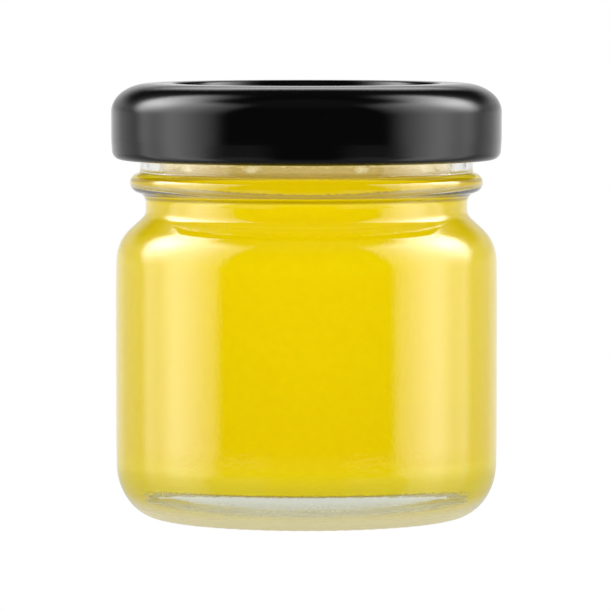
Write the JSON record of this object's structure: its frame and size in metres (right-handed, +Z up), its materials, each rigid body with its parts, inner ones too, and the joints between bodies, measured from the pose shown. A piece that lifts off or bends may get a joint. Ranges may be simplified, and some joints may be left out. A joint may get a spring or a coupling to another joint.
{
  "type": "honey jar",
  "caption": "Small round clear glass jar of bright yellow honey, with rounded shoulder and heel, a bead below the neck and a shut black twist-off metal lid.",
  "frame": {"origin": "middle of the ring that the jar stands on, in the plane of the surface under it", "axes": "+Z up along the jar's axis of revolution; -Y is the side seen in the picture, with the middle of one lug of the lid; +X is to the right in that view"},
  "size_m": [0.0454, 0.0454, 0.0506],
  "materials": {
    "glass": "clear colourless pressed glass, smooth and glossy, slightly wavy, with a stippled ring to stand on",
    "honey": "clear liquid honey, bright saturated yellow, without bubbles or grains",
    "lid": "black gloss lacquer on thin steel sheet"
  },
  "bodies": {
    "root": {"jar": "glass", "honey": "honey", "lid": "lid"}
  },
  "joints": []
}
